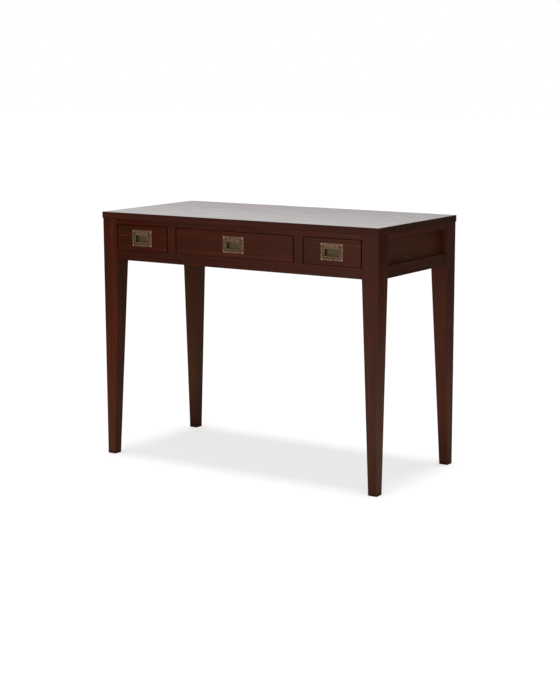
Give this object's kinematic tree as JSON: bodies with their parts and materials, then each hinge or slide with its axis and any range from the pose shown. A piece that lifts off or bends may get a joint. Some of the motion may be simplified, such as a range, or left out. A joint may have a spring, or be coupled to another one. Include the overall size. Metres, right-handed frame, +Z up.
{
  "type": "campaign writing desk",
  "caption": "Writing desk on square tapered legs, with a row of drawers under a flush top, framed sides and recessed brass campaign pulls.",
  "frame": {"origin": "on the floor, under the middle of the top", "axes": "+X to the right along the width as seen by a person at the drawers, -Y out of the front, +Z up"},
  "size_m": [0.997, 0.473, 0.776],
  "materials": {
    "mahogany": "dark reddish brown stain under a satin lacquer",
    "drawer_timber": "pale unstained hardwood, sanded and waxed",
    "carcase_timber": "plain planed softwood",
    "antique_brass": "cast brass, aged to a dull brown with rubbed edges"
  },
  "bodies": {
    "frame": {"top_panel": "mahogany", "front_top_rail": "mahogany", "front_bottom_rail": "mahogany", "back_apron": "mahogany", "drawer_stops": "carcase_timber", "top_glue_blocks": "carcase_timber", "front_left_leg": "mahogany", "front_right_leg": "mahogany", "back_left_leg": "mahogany", "back_right_leg": "mahogany", "left_divider": "mahogany", "right_divider": "mahogany", "left_side_top_rail": "mahogany", "right_side_top_rail": "mahogany", "left_side_bottom_rail": "mahogany", "right_side_bottom_rail": "mahogany", "left_side_panel": "mahogany", "right_side_panel": "mahogany", "left_side_runner": "carcase_timber", "right_side_runner": "carcase_timber", "left_middle_runner": "carcase_timber", "right_middle_runner": "carcase_timber", "left_side_guide": "carcase_timber", "right_side_guide": "carcase_timber", "left_middle_guide": "carcase_timber", "right_middle_guide": "carcase_timber", "left_side_kicker": "carcase_timber", "right_side_kicker": "carcase_timber", "left_middle_kicker": "carcase_timber", "right_middle_kicker": "carcase_timber"},
    "drawer_left": {"left_drawer_front": "mahogany", "left_drawer_left_side": "drawer_timber", "left_drawer_right_side": "drawer_timber", "left_drawer_back": "drawer_timber", "left_drawer_bottom": "drawer_timber", "left_pull_plate": "antique_brass", "left_pull_hinge_pins": "antique_brass"},
    "bail_left": {"left_pull_bail": "antique_brass"},
    "drawer_centre": {"centre_drawer_front": "mahogany", "centre_drawer_left_side": "drawer_timber", "centre_drawer_right_side": "drawer_timber", "centre_drawer_back": "drawer_timber", "centre_drawer_bottom": "drawer_timber", "centre_pull_plate": "antique_brass", "centre_pull_hinge_pins": "antique_brass"},
    "bail_centre": {"centre_pull_bail": "antique_brass"},
    "drawer_right": {"right_drawer_front": "mahogany", "right_drawer_left_side": "drawer_timber", "right_drawer_right_side": "drawer_timber", "right_drawer_back": "drawer_timber", "right_drawer_bottom": "drawer_timber", "right_pull_plate": "antique_brass", "right_pull_hinge_pins": "antique_brass"},
    "bail_right": {"right_pull_bail": "antique_brass"}
  },
  "joints": [
    {"name": "left_drawer_slide", "type": "slide", "parent": "frame", "child": "drawer_left", "axis": [0, -1, 0], "range_m": [0, 0.3]},
    {"name": "left_bail_swing", "type": "hinge", "parent": "drawer_left", "child": "bail_left", "pos_m": [-0.343, -0.2338, 0.7115], "axis": [-1, 0, 0], "range_deg": [0, 95]},
    {"name": "centre_drawer_slide", "type": "slide", "parent": "frame", "child": "drawer_centre", "axis": [0, -1, 0], "range_m": [0, 0.3]},
    {"name": "centre_bail_swing", "type": "hinge", "parent": "drawer_centre", "child": "bail_centre", "pos_m": [0, -0.2338, 0.7115], "axis": [-1, 0, 0], "range_deg": [0, 95]},
    {"name": "right_drawer_slide", "type": "slide", "parent": "frame", "child": "drawer_right", "axis": [0, -1, 0], "range_m": [0, 0.3]},
    {"name": "right_bail_swing", "type": "hinge", "parent": "drawer_right", "child": "bail_right", "pos_m": [0.343, -0.2338, 0.7115], "axis": [-1, 0, 0], "range_deg": [0, 95]}
  ]
}
